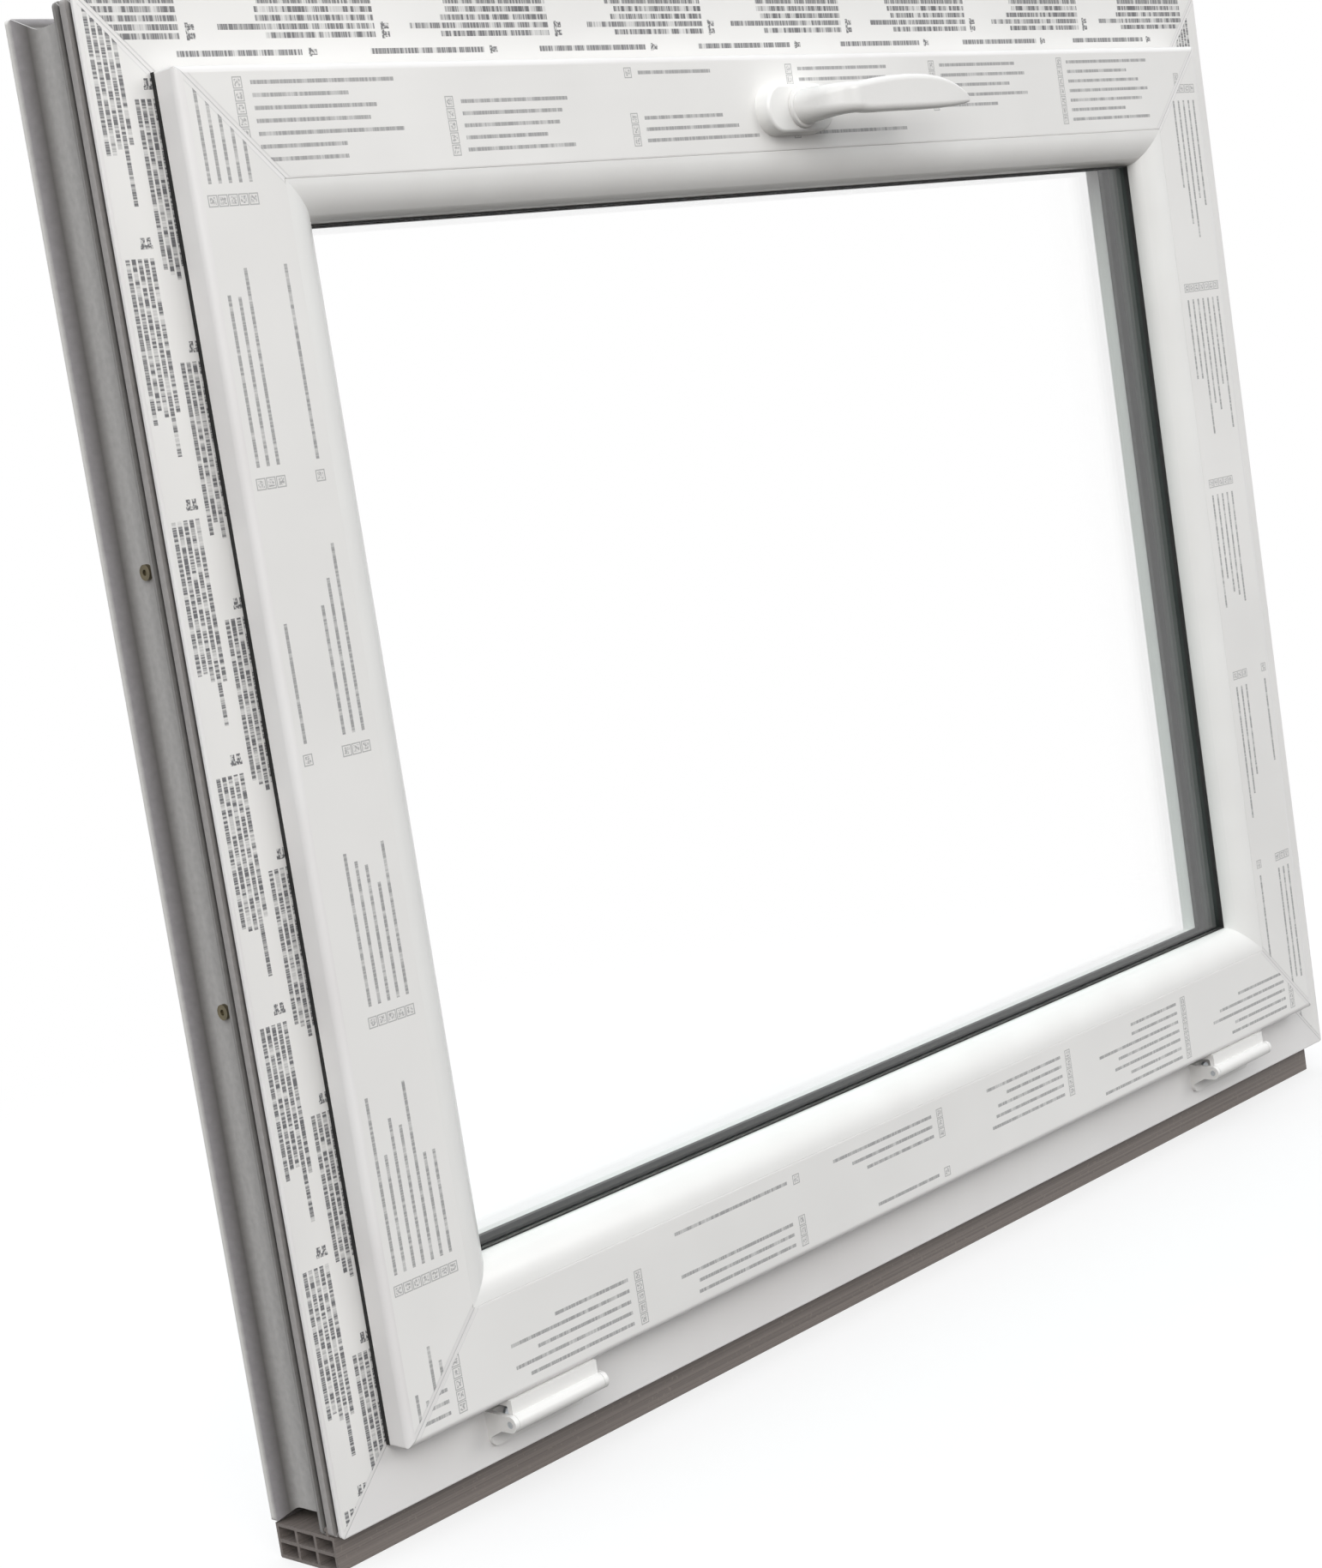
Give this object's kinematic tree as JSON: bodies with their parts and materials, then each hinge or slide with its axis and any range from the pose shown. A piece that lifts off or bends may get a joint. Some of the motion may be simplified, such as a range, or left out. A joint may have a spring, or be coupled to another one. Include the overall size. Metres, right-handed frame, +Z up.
{
  "type": "tilting pvc window",
  "caption": "White PVC window in a mitred frame: a double-glazed sash, hung on hinges along its bottom rail, tilts into the room on folding stays and is worked by a lever handle at the top.",
  "frame": {"origin": "on the underside of the sub-sill profile, at the frame's mid width and mid depth", "axes": "+X to the right as seen from the room, +Y outdoors, +Z up"},
  "size_m": [1, 0.1346, 0.82],
  "materials": {
    "filmed_pvc": "white PVC profile under a thin clear-white protective film, satin",
    "white_pvc": "smooth white PVC without film, glossy",
    "base_pvc": "grey-brown recycled PVC, extruded, matt",
    "galvanised_steel": "hot-dip galvanised sheet steel, rolled to a channel",
    "zinc_plated_steel": "zinc-plated, pressed or die-cast",
    "black_rubber": "black extruded EPDM, matt",
    "glass": "clear float glass, 4 mm",
    "spacer_aluminium": "mill-finish hollow bar, filled with drying agent",
    "black_sealant": "black butyl and polysulphide",
    "block_plastic": "moulded polypropylene",
    "white_coated_metal": "white powder coat on die-cast metal, glossy",
    "white_plastic": "moulded white plastic, glossy"
  },
  "bodies": {
    "frame": {"frame_head": "filmed_pvc", "frame_sill": "filmed_pvc", "frame_left_jamb": "filmed_pvc", "frame_right_jamb": "filmed_pvc", "frame_steel_top": "galvanised_steel", "frame_steel_bottom": "galvanised_steel", "frame_steel_left": "galvanised_steel", "frame_steel_right": "galvanised_steel", "frame_steel_screws": "zinc_plated_steel", "frame_seal": "black_rubber", "frame_hinge_leaf_left": "white_coated_metal", "frame_hinge_leaf_right": "white_coated_metal", "sub_sill_profile": "base_pvc", "drainage_caps": "white_pvc", "hinge_pins": "zinc_plated_steel", "hinge_frame_screws": "zinc_plated_steel", "keep_plates": "zinc_plated_steel", "keep_screws": "zinc_plated_steel", "stay_frame_brackets": "zinc_plated_steel"},
    "sash": {"sash_top_rail": "filmed_pvc", "sash_bottom_rail": "filmed_pvc", "sash_left_stile": "filmed_pvc", "sash_right_stile": "filmed_pvc", "glazing_bead_top": "white_pvc", "glazing_bead_bottom": "white_pvc", "glazing_bead_left": "white_pvc", "glazing_bead_right": "white_pvc", "sash_steel_top": "galvanised_steel", "sash_steel_bottom": "galvanised_steel", "sash_steel_left": "galvanised_steel", "sash_steel_right": "galvanised_steel", "hinge_sash_screws": "zinc_plated_steel", "faceplate": "zinc_plated_steel", "faceplate_screws": "zinc_plated_steel", "handle_screws": "zinc_plated_steel", "gearbox_cover": "zinc_plated_steel", "gearbox_case": "zinc_plated_steel", "rosette_base": "zinc_plated_steel", "stay_sash_brackets": "zinc_plated_steel", "sash_lip_seal": "black_rubber", "bead_seal": "black_rubber", "outer_glazing_seal": "black_rubber", "inner_pane": "glass", "outer_pane": "glass", "spacer_bar": "spacer_aluminium", "edge_sealant": "black_sealant", "setting_blocks": "block_plastic", "sash_hinge_leaf_left": "white_coated_metal", "sash_hinge_leaf_right": "white_coated_metal", "rosette_cover": "white_plastic"},
    "handle": {"handle_lever": "white_coated_metal", "handle_spindle": "zinc_plated_steel", "gearbox_pinion": "zinc_plated_steel"},
    "rail": {"drive_rail": "zinc_plated_steel", "cam_rollers": "zinc_plated_steel"},
    "left_frame_link": {"stay_frame_link_left": "zinc_plated_steel"},
    "left_sash_link": {"stay_sash_link_left": "zinc_plated_steel"},
    "right_frame_link": {"stay_frame_link_right": "zinc_plated_steel"},
    "right_sash_link": {"stay_sash_link_right": "zinc_plated_steel"}
  },
  "joints": [
    {"name": "sash_tilt", "type": "hinge", "parent": "frame", "child": "sash", "pos_m": [0, -0.051, 0.04575], "axis": [1, 0, 0], "range_deg": [0, 15]},
    {"name": "handle_turn", "type": "hinge", "parent": "sash", "child": "handle", "pos_m": [0, -0.09, 0.747], "axis": [0, 1, 0], "range_deg": [0, 90]},
    {"name": "rail_slide", "type": "slide", "parent": "sash", "child": "rail", "axis": [1, 0, 0], "range_m": [0, 0.0142]},
    {"name": "left_frame_link_turn", "type": "hinge", "parent": "frame", "child": "left_frame_link", "pos_m": [-0.451, -0.025, 0.44575], "axis": [1, 0, 0], "range_deg": [0, 24.5]},
    {"name": "left_sash_link_turn", "type": "hinge", "parent": "sash", "child": "left_sash_link", "pos_m": [-0.446, -0.025, 0.44575], "axis": [1, 0, 0], "range_deg": [-24.5, 0]},
    {"name": "right_frame_link_turn", "type": "hinge", "parent": "frame", "child": "right_frame_link", "pos_m": [0.451, -0.025, 0.44575], "axis": [1, 0, 0], "range_deg": [0, 24.5]},
    {"name": "right_sash_link_turn", "type": "hinge", "parent": "sash", "child": "right_sash_link", "pos_m": [0.446, -0.025, 0.44575], "axis": [1, 0, 0], "range_deg": [-24.5, 0]}
  ],
  "couplings": [
    {"joint": "rail_slide", "follows": "handle_turn", "m_per_rad": 0.009},
    {"joint": "left_frame_link_turn", "follows": "sash_tilt", "ratio": 1.6265},
    {"joint": "left_sash_link_turn", "follows": "sash_tilt", "ratio": -1.6265},
    {"joint": "right_frame_link_turn", "follows": "sash_tilt", "ratio": 1.6265},
    {"joint": "right_sash_link_turn", "follows": "sash_tilt", "ratio": -1.6265}
  ]
}
